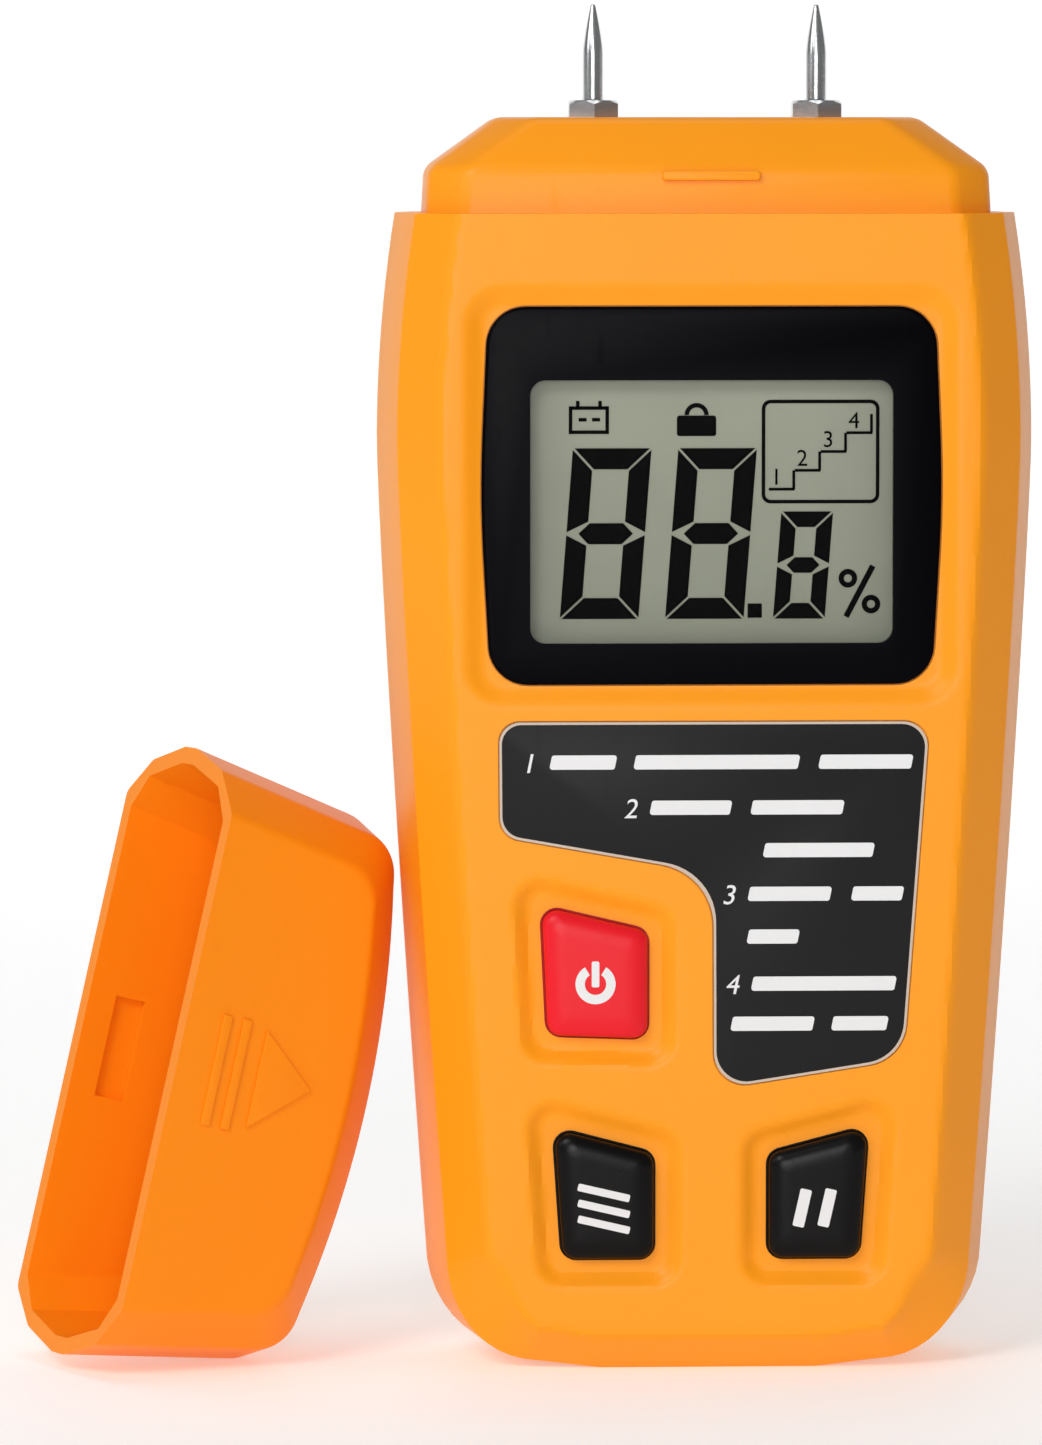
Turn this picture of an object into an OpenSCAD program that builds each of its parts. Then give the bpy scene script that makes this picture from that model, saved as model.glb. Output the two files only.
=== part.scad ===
// Pin-type moisture meter with a push-on cap, all sizes in millimetres.
// Origin: centre of the flat foot of the case. +Z runs up to the pins, the display faces -Y.

/* [Case] */
// Width of the case at its widest
body_w = 74; // [72:1:96]
// Thickness of the case, front to back
body_t = 28; // [27:0.5:36]
// Height of the case from foot to shoulder
body_h = 130; // [126:1:160]
// Width of the case just above the foot corners
foot_w = 63; // [58:1:66]
// Wall of both case halves
wall = 2; // [1.6:0.1:2.4]
// Height at which the case is widest, below the shoulder
wide_drop = 26; // [20:1:34]
// Width of the flat that the meter stands on
foot_flat = 24; // [16:1:28]

/* [Head and pins] */
// Height of the head above the shoulder
head_h = 10.7; // [9:0.1:13]
// Distance between the two pins
pin_spacing = 25.2; // [20:0.2:34]
// Diameter of the straight part of a pin
pin_d = 2.3; // [1.6:0.1:2.8]
// Length of the straight part of a pin above its nut
pin_straight = 5.2; // [4:0.2:6]
// Length of the tapered point of a pin
pin_point = 5.6; // [4:0.2:6]
// Thread diameter of a pin's shank
thread_d = 3; // [2.5:0.5:4]
// Width across the flats of a pin's nut
nut_af = 5.5; // [5:0.5:7]
// Height of a pin's nut
nut_h = 1.9; // [1.5:0.1:2.4]

/* [Cap] */
// Depth of the cap, rim to the middle of its closed end
cap_depth = 28; // [27:0.5:34]
// Wall of the cap
cap_wall = 1.9; // [1.4:0.1:2.2]
// Gap between the cap's wall and the sides of the head
cap_side_gap = 1.1; // [0.4:0.1:1.5]
// Gap between the cap's wall and the front and back of the head
cap_face_gap = 0.5; // [0.3:0.1:0.8]
// Cap pushed onto the head instead of leaning beside the meter
cap_fitted = false; // [false, true]

/* [Display] */
// Width of the black bezel at its waist
bezel_w = 51.8; // [46:0.2:54]
// Height of the black bezel
bezel_h = 42.2; // [38:0.2:44]
// Width of the visible window
window_w = 40.6; // [34:0.2:42]
// Height of the visible window
window_h = 29.4; // [24:0.2:31]

/* [Keys] */
// How far a key moves when pressed
key_travel = 0.5; // [0.3:0.05:0.8]
// Gap around a key in its opening
key_gap = 0.3; // [0.2:0.05:0.5]
// How far a key stands out of the case
key_proud = 0.9; // [0.5:0.1:1.5]

/* [Battery] */
// Width of the battery
battery_w = 26.4; // [24:0.2:32]
// Thickness of the battery
battery_t = 17.4; // [14:0.2:17.6]
// Height of the battery without its terminals
battery_h = 48.4; // [40:0.2:52]

/* [Hidden] */
$fn = 48;
eps = 0.01;                       // thickness of the slices that a hull joins
half_w = body_w / 2;
half_t = body_t / 2;
foot_half = foot_w / 2;
wide_z = body_h - wide_drop;
corner_r = 12;                    // foot corner seen from the front
corner_z = 12.9;
head_z = body_h + head_h;
split_y = 1;                      // plane where the two case halves meet

// The case's section: a middle band, a side band and a bevel round the face
band_y = 1.5;
bevel_y = half_t - 5;
band_in = 2;
front_in = 6.7;
back_in = 6;
foot_in = 4.2;
shoulder_drop = 2.05;             // how much narrower each side is at the shoulder

// Display stack, counted back from the front face
front_y = -half_t;
inner_y = front_y + wall;         // back of the front wall
bezel_t = 1.1;
bezel_sink = 0.2;
pocket_y = front_y + bezel_sink + bezel_t;
pane_t = 1.1;
lcd_t = 2;
lcd_w = window_w + 5.4;
lcd_h = window_h + 6.6;
stack_gap = 0.1;
lcd_y = pocket_y + pane_t + stack_gap;
board_y = lcd_y + lcd_t + 1.5;    // front face of the circuit board
board_t = 1.6;
board_back = board_y + board_t;
bezel_z = body_h - 10.35 - bezel_h / 2;
window_z = body_h - 33.25;

// Keys: corners from the top left, clockwise, counted from the foot
power_corners = [[-19, 52.6], [-7.2, 49.8], [-7.2, 37.8], [-18.3, 38.2]];
mode_corners = [[-17.6, 27.6], [-6.5, 24.7], [-6.5, 13], [-16.6, 13]];
hold_corners = [[6.5, 24.7], [17.6, 27.6], [16.6, 13], [6.5, 13]];
key_r = 1.6;
flange_w = 1;
flange_t = 1;
flange_gap = 0.1;
switch_w = 5.2;
switch_h = 1.6;
plunger_r = 1.3;
plunger_stand = 0.7;
plunger_y = board_y - switch_h - plunger_stand;
dish_w = 2.4;
dish_depth = 0.6;

// Label: corners from the top left, clockwise, with the radius of each
label_corners = [[-23.8, 73.3], [24.4, 73.3], [21.6, 35.3], [0.3, 32], [0.2, 56.3], [-23.7, 60.5]];
label_radii = [2.4, 2.8, 5, 3.6, 7, 2.6];
label_sink = 0.4;
label_t = 0.5;

// Battery bay, built into the back half
bay_gap = 0.6;
bay_wall = 1.2;
bay_x = battery_w / 2 + bay_gap;
bay_z = 9.6;
battery_z = bay_z + 1.6;
terminal_h = 2.8;
snap_t = 3;
bay_top = battery_z + battery_h + terminal_h + snap_t + 3;
door_t = 1.15;
door_gap = 0.2;
ledge_w = 2.4;
door_in = half_t - door_t;        // inner face of the battery door
battery_back = door_in - 0.5;
battery_y = battery_back - battery_t / 2;
bay_floor = board_back + 0.2;

// Fasteners
case_screws_at = [for (s = [-1, 1]) each [[s * 27, body_h - 6.5], [s * 22.5, 11.5]]];
board_screws_at = [for (s = [-1, 1]) each [[s * 24, 71.5], [s * (bay_x + bay_wall + 2.6), 32.8]]];
case_screw_r = 1.3;
board_screw_r = 0.85;
thread_gap = 0.05;

// Head, as half widths: side and face at the foot, the break and the top
head_w0 = half_w - shoulder_drop - cap_wall - cap_side_gap;
head_y0 = half_t - cap_wall - cap_face_gap;
head_break = 5;                   // height where the head starts to slope in
head_top_w = head_w0 - 8.25;
head_top_y = head_y0 - 3.4;
head_face_in = 4.2;
head_side_in = 4;
catch_w = 11;
catch_z = 4.2;                    // catch ridge above the shoulder
catch_h = 1;
catch_out = 0.8;

// Sockets that hold the pins
socket_r = 2.9;
socket_bottom = head_z - 9.2;
flange_r = 4.1;
bore_gap = 0.1;
pin_z0 = head_z + nut_h;          // where the straight part of a pin starts
pin_tip_r = 0.3;

// Cap in its own frame: rim at z = 0, closed end up, front face at -y
cap_rim = half_w - shoulder_drop;
cap_taper = 9;
cap_corner_r = 5;
cap_end_r = 115;
cap_end_in = 6;
recess_w = 11.6;
recess_low = 3.4;
recess_high = 7.2;
recess_y = half_t - cap_wall + catch_out + 0.2;
arrow_out = 0.4;
arrow_bars = [4.9, 7.4];          // distance of each bar from the rim
arrow_base = 10;
arrow_tip = 17;
cap_lean = 14;                    // lean towards the meter as it stands beside it
cap_yaw = 25;                     // turn of its mouth towards the front
cap_y = -4;
cap_gap = 0.63;

// ---- Outlines ----

function unit(v) = v / norm(v);

// Arc of radius r that rounds the corner b between a and c
function corner(a, b, c, r, n) = let (
    u = unit(a - b),
    v = unit(c - b),
    half = acos(u * v) / 2,
    centre = b + unit(u + v) * r / sin(half),
    s = b + u * r / tan(half) - centre,
    e = b + v * r / tan(half) - centre,
    from = atan2(s[1], s[0]),
    turn = atan2(s[0] * e[1] - s[1] * e[0], s * e))
    [for (k = [0:n]) centre + r * [cos(from + turn * k / n), sin(from + turn * k / n)]];

// Polygon p with each corner rounded by r, or by its own entry of r
function rounded(p, r, n = 5) = [for (i = [0:len(p) - 1])
    each corner(p[(i + len(p) - 1) % len(p)], p[i], p[(i + 1) % len(p)], is_list(r) ? r[i] : r, n)];

// Clockwise polygon p with every edge moved outward by g
function grown(p, g) = [for (i = [0:len(p) - 1]) let (
    a = unit(p[i] - p[(i + len(p) - 1) % len(p)]),
    b = unit(p[(i + 1) % len(p)] - p[i]),
    m = [-a[1], a[0]],
    n = [-b[1], b[0]])
    p[i] + g * (m + n) / (1 + m * n)];

function rect(w, h, z = 0) = [[-w / 2, z + h / 2], [w / 2, z + h / 2], [w / 2, z - h / 2], [-w / 2, z - h / 2]];

function mirrored(p) = concat(p, [for (i = [len(p) - 1:-1:0]) [-p[i][0], p[i][1]]]);

// Half width of the case at height z
function case_half(z) = z > wide_z
    ? half_w - shoulder_drop * pow((z - wide_z) / wide_drop, 2)
    : half_w - (half_w - foot_half) * pow((wide_z - z) / (wide_z - corner_z), 1.2);

// Case outline, its sides moved in by d and its foot moved up by e
function case_outline(d, e, top) = mirrored(concat(
    [for (k = [0:4]) let (z = top + (wide_z - top) * k / 4) [case_half(z) - d, z]],
    [for (k = [1:6]) let (z = wide_z + (corner_z - wide_z) * k / 6) [case_half(z) - d, z]],
    [for (a = [20:20:80]) [foot_half - corner_r + (corner_r - d) * cos(a), corner_z - (corner_r - e) * sin(a)]],
    [[foot_flat / 2, e]]));

function cap_end(x) = cap_depth - x * x / (2 * cap_end_r);

// Cap outline from its rim, its sides moved in by d and its end by e
function cap_outline(d, e, rim) = let (
    slope = tan(cap_taper),
    side = cap_rim - d,
    z = cap_end(side - cap_depth * slope) - e,
    w = side - z * slope)
    mirrored(concat(
        [for (k = [1:5]) let (x = (w - 5) * k / 5) [x, cap_end(x) - e]],
        corner([w - 6, cap_end(w - 6) - e], [w, z], [side, 0], cap_corner_r, 5),
        [[side - rim * slope, rim]]));

// Layers of a solid through its thickness: depth, side inset, end inset
case_front = [[front_y, front_in, foot_in], [-bevel_y, band_in, 0], [-band_y, 0, 0], [split_y, 0, 0]];
case_back = [[split_y, 0, 0], [band_y, 0, 0], [bevel_y, band_in, 0], [half_t, back_in, foot_in]];
cap_layers = [[-half_t, front_in, cap_end_in], [-bevel_y, band_in, 1], [-band_y, 0, 0],
    [band_y, 0, 0], [bevel_y, band_in, 1], [half_t, back_in, cap_end_in]];

// The layers of the space inside walls of thickness w
function inner(layers, w) = [for (l = layers) abs(l[0]) < half_t ? l + [0, w, w]
    : [l[0] - sign(l[0]) * w, l[1] + w / 2, l[2] + w / 2]];

// The cap leans beside the meter: its lowest corner on the ground, its closed end against the case
cap_low = max([for (p = cap_outline(0, 0, 0)) p[0] * cos(cap_lean) + p[1] * sin(cap_lean)]);
cap_reach = max([for (l = cap_layers) for (p = cap_outline(l[1], l[2], 0))
    (p[1] * cos(cap_lean) - p[0] * sin(cap_lean)) * cos(cap_yaw) - l[0] * sin(cap_yaw)
    + case_half(cap_low - p[0] * cos(cap_lean) - p[1] * sin(cap_lean))]);

// ---- Shared shapes ----

// Plate of outline p, standing in the XZ plane between two depths
module plate(p, y0, y1) {
    translate([0, y1, 0]) rotate([90, 0, 0]) linear_extrude(y1 - y0) polygon(p);
}

// Round bar along Y
module rod(x, z, r, y0, y1) {
    translate([x, y1, z]) rotate([90, 0, 0]) cylinder(h = y1 - y0, r = r);
}

module block(x, y, z) {
    translate([x[0], y[0], z[0]]) cube([x[1] - x[0], y[1] - y[0], z[1] - z[0]]);
}

// Solid through a row of outlines with as many points each, given as [depth, outline]
module loft(rings) {
    n = len(rings[0][1]);
    last = len(rings) - 1;
    polyhedron(
        [for (ring = rings) for (p = ring[1]) [p[0], ring[0], p[1]]],
        concat(
            [[for (k = [0:n - 1]) k]],
            [for (i = [0:last - 1]) for (k = [0:n - 1]) let (m = (k + 1) % n)
                [i * n + k, (i + 1) * n + k, (i + 1) * n + m, i * n + m]],
            [[for (k = [n - 1:-1:0]) last * n + k]]),
        convexity = 4);
}

module case_block(layers, top) {
    loft([for (l = layers) [l[0], case_outline(l[1], l[2], top)]]);
}

module cap_block(layers, rim) {
    loft([for (l = layers) [l[0], cap_outline(l[1], l[2], rim)]]);
}

// Half of the head, as slices stacked upward: s is -1 for the front half, 1 for the back half
module head_block(s, w) {
    slices = [[body_h - 3, head_w0, head_y0], [body_h + head_break, head_w0 - 0.45, head_y0 - 0.2],
        [head_z, head_top_w, head_top_y]];
    hull() for (i = [0:2]) {
        z = i == 2 ? slices[i][0] - w - eps : slices[i][0];
        x = slices[i][1] - w;
        y = slices[i][2] - w;
        translate([0, 0, z]) linear_extrude(eps) polygon([[-x, split_y], [-x, s * (y - head_side_in)],
            [-x + head_face_in, s * y], [x - head_face_in, s * y], [x, s * (y - head_side_in)], [x, split_y]]);
    }
}

// Wire of radius r along a smooth curve through points, which keeps clear of the X direction
module wire(points, r, sides = 8, steps = 4) {
    n = len(points);
    path = concat([for (i = [0:n - 2]) for (k = [0:steps - 1]) curve_point(points, i, k / steps)], [points[n - 1]]);
    rings = len(path);
    ring = [for (i = [0:rings - 1]) let (
        t = unit(path[min(i + 1, rings - 1)] - path[max(i - 1, 0)]),
        a = unit(cross(t, [1, 0, 0])),
        b = cross(t, a))
        for (k = [0:sides - 1]) path[i] + r * (cos(360 * k / sides) * a + sin(360 * k / sides) * b)];
    faces = concat(
        [[for (k = [0:sides - 1]) k]],
        [for (i = [0:rings - 2]) for (k = [0:sides - 1]) let (m = (k + 1) % sides)
            [i * sides + m, i * sides + k, (i + 1) * sides + k, (i + 1) * sides + m]],
        [[for (k = [sides - 1:-1:0]) (rings - 1) * sides + k]]);
    polyhedron(ring, faces, convexity = 4);
}

function curve_point(p, i, t) = let (
    a = p[max(i - 1, 0)],
    b = p[i],
    c = p[i + 1],
    d = p[min(i + 2, len(p) - 1)])
    0.5 * (2 * b + (c - a) * t + (2 * a - 5 * b + 4 * c - d) * t * t + (3 * b - a - 3 * c + d) * t * t * t);

// Pan-head screw with a cross slot, its head at depth y and its tip towards the front
module screw(x, z, y, r, head_r, head_t, length) {
    difference() {
        union() {
            rod(x, z, head_r, y, y + head_t);
            rod(x, z, r, y - length, y);
        }
        for (a = [0, 90]) translate([x, y + head_t, z]) rotate([0, a, 0])
            cube([head_r * 1.2, head_t, head_r * 0.28], center = true);
    }
}

// ---- Case ----

module front_shell() {
    color("orange") difference() {
        union() {
            difference() {
                union() {
                    case_block(case_front, body_h);
                    head_block(-1, 0);
                }
                case_block(inner(case_front, wall), body_h - wall);
                head_block(-1, wall);
            }
            for (p = case_screws_at) rod(p[0], p[1], 2.8, inner_y - 0.3, split_y);
            for (p = board_screws_at) rod(p[0], p[1], 2, inner_y - 0.3, board_y);
            catch_ridge(-head_y0 - catch_out + 0.1, -head_y0 + 0.6);
        }
        for (p = case_screws_at) rod(p[0], p[1], case_screw_r + thread_gap, inner_y + 2, split_y + 1);
        for (p = board_screws_at) rod(p[0], p[1], board_screw_r + thread_gap, inner_y + 0.4, board_y + 1);
        plate(bezel_outline(0.15), front_y - 1, pocket_y);
        plate(rounded(rect(window_w + 3.4, window_h + 3.4, window_z), 1), front_y, inner_y + 1);
        plate(rounded(grown(label_corners, 0.15), label_radii), front_y - 1, front_y + label_sink);
        for (k = [power_corners, mode_corners, hold_corners]) {
            plate(rounded(grown(k, key_gap), key_r + key_gap), front_y - 1, inner_y + 1);
            plate(rounded(grown(k, dish_w), key_r + dish_w), front_y - 1, front_y + dish_depth);
        }
        socket_bores();
        block([-head_w0, head_w0], [split_y, half_t], [body_h - 4, head_z]);
    }
}

module back_shell() {
    color("darkorange") difference() {
        union() {
            difference() {
                union() {
                    case_block(case_back, body_h);
                    head_block(1, 0);
                }
                case_block(inner(case_back, wall), body_h - wall);
                head_block(1, wall);
            }
            for (p = case_screws_at) rod(p[0], p[1], 4.2, split_y, half_t - wall + 0.3);
            block([-bay_x - bay_wall, bay_x + bay_wall], [bay_floor, half_t - wall + 0.3],
                [bay_z - bay_wall, bay_top + bay_wall]);
            catch_ridge(head_y0 - 0.6, head_y0 + catch_out - 0.1);
        }
        block([-bay_x, bay_x], [bay_floor + bay_wall * 0.7, half_t + 1], [bay_z, bay_top]);
        plate(rounded(door_outline(0), 2), door_in - 0.05, half_t + 1);
        block([-5, 5], [battery_y - 2, battery_y + 2], [bay_top - 1, bay_top + bay_wall + 1]);
        for (p = case_screws_at) {
            rod(p[0], p[1], case_screw_r + bore_gap, split_y - 1, half_t);
            rod(p[0], p[1], 2.9, half_t - 6, half_t + 1);
        }
        socket_bores();
        block([-head_w0, head_w0], [-half_t, split_y], [body_h - 4, head_z]);
    }
}

module catch_ridge(y0, y1) {
    block([-catch_w / 2, catch_w / 2], [y0, y1], [body_h + catch_z - catch_h / 2, body_h + catch_z + catch_h / 2]);
}

module socket_bores() {
    for (s = [-1, 1]) translate([s * pin_spacing / 2, 0, head_z - wall - 1]) cylinder(h = wall + 2, r = socket_r + bore_gap);
}

function door_outline(g) = let (w = 2 * (bay_x + ledge_w), low = bay_z - ledge_w, high = bay_top + ledge_w)
    grown(rect(w, high - low, (high + low) / 2), -g);

module battery_door() {
    color("darkorange") {
        plate(rounded(door_outline(door_gap), 1.8), door_in, half_t);
        for (s = [-1, 1]) block([s * (bay_x - 0.5) - 0.3, s * (bay_x - 0.5) + 0.3], [door_in - 0.8, door_in],
            [bay_z + 4, bay_top - 4]);
        for (k = [0:4]) block([-6, 6], [half_t, half_t + 0.35], [bay_top - 4 + k * 1.3, bay_top - 3.4 + k * 1.3]);
    }
}

module case_screws() {
    color("silver") for (p = case_screws_at)
        screw(p[0], p[1], half_t - 6, case_screw_r, 2.5, 1.7, half_t - 6 - inner_y - 3);
}

// ---- Display ----

function bezel_outline(g) = let (w = bezel_w / 2, h = bezel_h / 2, c = bezel_z)
    rounded(grown([[-w + 0.9, c + h], [w - 0.9, c + h], [w, c], [w - 1.2, c - h], [-w + 1.2, c - h], [-w, c]], g),
        [4.4 + g, 4.4 + g, 150, 4.4 + g, 4.4 + g, 150]);

module display_bezel() {
    color("black") difference() {
        plate(bezel_outline(0), front_y + bezel_sink, pocket_y);
        plate(rounded(rect(window_w, window_h, window_z), 1.7), front_y - 1, pocket_y + 1);
    }
}

module display_window() {
    color([0.8, 0.9, 0.9, 0.4]) plate(rounded(rect(window_w + 3, window_h + 3, window_z), 1), pocket_y, pocket_y + pane_t);
}

module lcd_panel() {
    color("darkseagreen") plate(rect(lcd_w, lcd_h, window_z), lcd_y, lcd_y + lcd_t);
}

module lcd_holder() {
    color("whitesmoke") difference() {
        plate(rounded(rect(lcd_w + 4, lcd_h + 4, window_z), 1), lcd_y, board_y);
        plate(rect(lcd_w + 0.2, lcd_h + 0.2, window_z), lcd_y - 1, board_y + 1);
    }
}

module zebra_strips() {
    color("dimgray") for (s = [-1, 1]) plate(rect(lcd_w - 2, 2, window_z + s * (lcd_h / 2 - 1.4)), lcd_y + lcd_t, board_y);
}

// ---- Board and what it carries ----

module circuit_board() {
    low_w = 19.6;
    top_w = 27;
    color("seagreen") difference() {
        plate(rounded([[-top_w, body_h - 12], [top_w, body_h - 12], [top_w, 68], [low_w, 60], [low_w, 9.5],
            [-low_w, 9.5], [-low_w, 60], [-top_w, 68]], 1.5), board_y, board_back);
        for (p = board_screws_at) rod(p[0], p[1], board_screw_r + bore_gap, board_y - 1, board_back + 1);
    }
}

module board_screws() {
    color("silver") for (p = board_screws_at)
        screw(p[0], p[1], board_back, board_screw_r, 1.5, 1, board_t + 2.6);
}

module microcontroller() {
    size = 10;
    color("black") on_board(2, body_h - 38) {
        block([-size / 2, size / 2], [0.3, 1.7], [-size / 2, size / 2]);
        for (a = [0:90:270]) rotate([0, a, 0]) for (k = [-4:4])
            block([k - 0.18, k + 0.18], [0, 0.6], [size / 2 - 0.2, size / 2 + 1.1]);
    }
}

module amplifier_chip() {
    color("black") on_board(-15, body_h - 40) {
        block([-2, 2], [0.3, 1.6], [-2.5, 2.5]);
        for (s = [-1, 1]) for (k = [-1.5:1.5]) block([s * 2.5 - 0.6, s * 2.5 + 0.6], [0, 0.6],
            [k * 1.27 - 0.2, k * 1.27 + 0.2]);
    }
}

module crystal() {
    color("silver") on_board(15, body_h - 34) hull() for (s = [-1, 1]) translate([0, 0, s * 3])
        rotate([-90, 0, 0]) cylinder(h = 3.4, r = 2.2, $fn = 32);
}

module electrolytic_capacitor() {
    color("navy") on_board(17, body_h - 50) {
        rod(0, 0, 3.1, 0.6, 6);
        block([-3.3, 3.3], [0, 0.6], [-3.3, 3.3]);
    }
}

module small_parts() {
    color("tan") for (p = [[-22, 42], [-21, 45], [-15, 47], [-12, 47], [-8, 48], [-9, 32], [9, 47], [12, 27],
            [-21, 35], [-18, 33], [22, 37], [20, 30]])
        on_board(p[0], body_h - p[1]) block([-1, 1], [0, 0.7], [-0.6, 0.6]);
}

module on_board(x, z) {
    translate([x, board_back, z]) children();
}

module switch_housings() {
    color("dimgray") for (k = [power_corners, mode_corners, hold_corners]) let (c = centre(k)) difference() {
        plate(rect_at(c, switch_w), board_y - switch_h, board_y);
        rod(c[0], c[1], plunger_r + bore_gap, board_y - switch_h - 1, board_y - switch_h + 1.2);
    }
}

function centre(p) = (p[0] + p[1] + p[2] + p[3]) / 4;
function rect_at(c, w) = [for (p = rect(w, w)) p + c];

module plunger(corners) {
    c = centre(corners);
    color("ivory") rod(c[0], c[1], plunger_r, plunger_y, board_y - switch_h + 1.2 - key_travel - bore_gap);
}

module power_plunger() {
    plunger(power_corners);
}

module mode_plunger() {
    plunger(mode_corners);
}

module hold_plunger() {
    plunger(hold_corners);
}

// ---- Keys ----

module key(corners) {
    c = centre(corners);
    top = front_y - key_proud;
    hull() {
        plate(rounded(grown(corners, -0.8), key_r - 0.6, 3), top, top + eps);
        plate(rounded(grown(corners, -0.15), key_r, 3), top + 0.5, top + 0.5 + eps);
        plate(rounded(corners, key_r, 3), front_y, front_y + eps);
    }
    plate(rounded(corners, key_r), front_y, inner_y + flange_gap);
    plate(rounded(grown(corners, flange_w), key_r + flange_w), inner_y + flange_gap, inner_y + flange_gap + flange_t);
    rod(c[0], c[1], 2.4, inner_y + flange_gap + flange_t, plunger_y);
}

module power_key() {
    color("crimson") key(power_corners);
}

module mode_key() {
    color([0.1, 0.1, 0.1]) key(mode_corners);
}

module hold_key() {
    color([0.1, 0.1, 0.1]) key(hold_corners);
}

module label_plate() {
    color([0.17, 0.17, 0.17]) plate(rounded(label_corners, label_radii), front_y + label_sink - label_t, front_y + label_sink);
}

// ---- Pins ----

module pin(s) {
    tip = pin_straight + pin_point;
    r = pin_d / 2;
    color("silver") translate([s * pin_spacing / 2, 0, pin_z0]) rotate_extrude() polygon(concat(
        [[0, -nut_h - 8], [thread_d / 2, -nut_h - 8], [thread_d / 2, 0], [r, 0], [r, pin_straight]],
        [for (k = [1:4]) [pin_tip_r + (r - pin_tip_r) * (1 - pow(k / 4, 1.4)), pin_straight + (tip - pin_straight - 0.2) * k / 4]],
        [[0, tip]]));
}

module left_pin() {
    pin(-1);
}

module right_pin() {
    pin(1);
}

module pin_nuts() {
    color("silver") for (s = [-1, 1]) translate([s * pin_spacing / 2, 0, head_z]) difference() {
        rotate([0, 0, 30]) cylinder(h = nut_h, r = nut_af / 2 / cos(30), $fn = 6);
        translate([0, 0, -1]) cylinder(h = nut_h + 2, r = thread_d / 2 + thread_gap);
    }
}

module pin_sockets() {
    color("gold") for (s = [-1, 1]) translate([s * pin_spacing / 2, 0, 0]) difference() {
        union() {
            translate([0, 0, socket_bottom]) cylinder(h = head_z - socket_bottom, r = socket_r);
            translate([0, 0, head_z - wall - 2.1]) cylinder(h = 2, r = flange_r);
        }
        translate([0, 0, socket_bottom + 1]) cylinder(h = head_z - socket_bottom, r = thread_d / 2 + thread_gap);
    }
}

module pin_lead(s) {
    x = s * pin_spacing / 2;
    wire([[x, 0, socket_bottom], [x, 0, socket_bottom - 2.5], [x - s * 0.5, -1, body_h - 6],
        [x - s * 1.5, -1.2, body_h - 10], [x - s * 2, -3, body_h - 14], [x - s * 2, board_back + 1.6, body_h - 15],
        [x - s * 2, board_back + 0.8, body_h - 15], [x - s * 2, board_back, body_h - 15]], 0.6);
}

module left_pin_lead() {
    color("white") pin_lead(-1);
}

module right_pin_lead() {
    color("gray") pin_lead(1);
}

// ---- Power ----

module battery() {
    color("slategray") translate([0, battery_y, battery_z]) linear_extrude(battery_h)
        polygon(rounded(rect(battery_w, battery_t), 2));
}

module battery_terminals() {
    top = battery_z + battery_h;
    color("silver") {
        translate([-6.35, battery_y, top]) cylinder(h = terminal_h, r = 2.9);
        translate([6.35, battery_y, top]) cylinder(h = terminal_h, r = 4.1, $fn = 8);
    }
}

module battery_snap() {
    z = battery_z + battery_h + terminal_h;
    color([0.12, 0.12, 0.12]) translate([0, battery_y, z]) linear_extrude(snap_t)
        polygon(rounded(rect(battery_w - 1.4, 11), 4));
}

module battery_lead(s) {
    z = battery_z + battery_h + terminal_h + snap_t;
    wire([[s * 3, battery_y, z], [s * 3, battery_y, z + 2], [s * 3.2, battery_y - 0.5, bay_top + 3],
        [s * 5, 0, bay_top + 6], [s * 6, board_back + 2.4, bay_top + 6.5],
        [s * 6, board_back + 1.2, bay_top + 6.5], [s * 6, board_back, bay_top + 6.5]], 0.6);
}

module positive_lead() {
    color("red") battery_lead(-1);
}

module negative_lead() {
    color("black") battery_lead(1);
}

// ---- Cap ----

module cap() {
    color("darkorange")
        if (cap_fitted) translate([0, 0, body_h]) cap_shape();
        else translate([-cap_reach - cap_gap, cap_y, cap_low])
            rotate([0, 90 + cap_lean, cap_yaw]) cap_shape();
}

module cap_shape() {
    difference() {
        union() {
            cap_block(cap_layers, 0);
            for (z = arrow_bars) cap_mark(rect(12.6, 1.1, z));
            cap_mark([[-5.6, arrow_base], [0, arrow_tip], [5.6, arrow_base]]);
        }
        cap_block(inner(cap_layers, cap_wall), -1);
        block([-recess_w / 2, recess_w / 2], [-recess_y, recess_y], [recess_low, recess_high]);
    }
}

module cap_mark(p) {
    plate(p, -half_t - arrow_out, -half_t + 0.2);
}

front_shell();
back_shell();
display_bezel();
display_window();
lcd_panel();
lcd_holder();
zebra_strips();
circuit_board();
microcontroller();
amplifier_chip();
crystal();
electrolytic_capacitor();
small_parts();
switch_housings();
power_plunger();
mode_plunger();
hold_plunger();
power_key();
mode_key();
hold_key();
label_plate();
left_pin();
right_pin();
pin_nuts();
pin_sockets();
left_pin_lead();
right_pin_lead();
battery();
battery_terminals();
battery_snap();
positive_lead();
negative_lead();
battery_door();
case_screws();
board_screws();
cap();
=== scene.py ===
import math

import bmesh
import bpy
import numpy as np
from mathutils import Matrix, Vector


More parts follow.
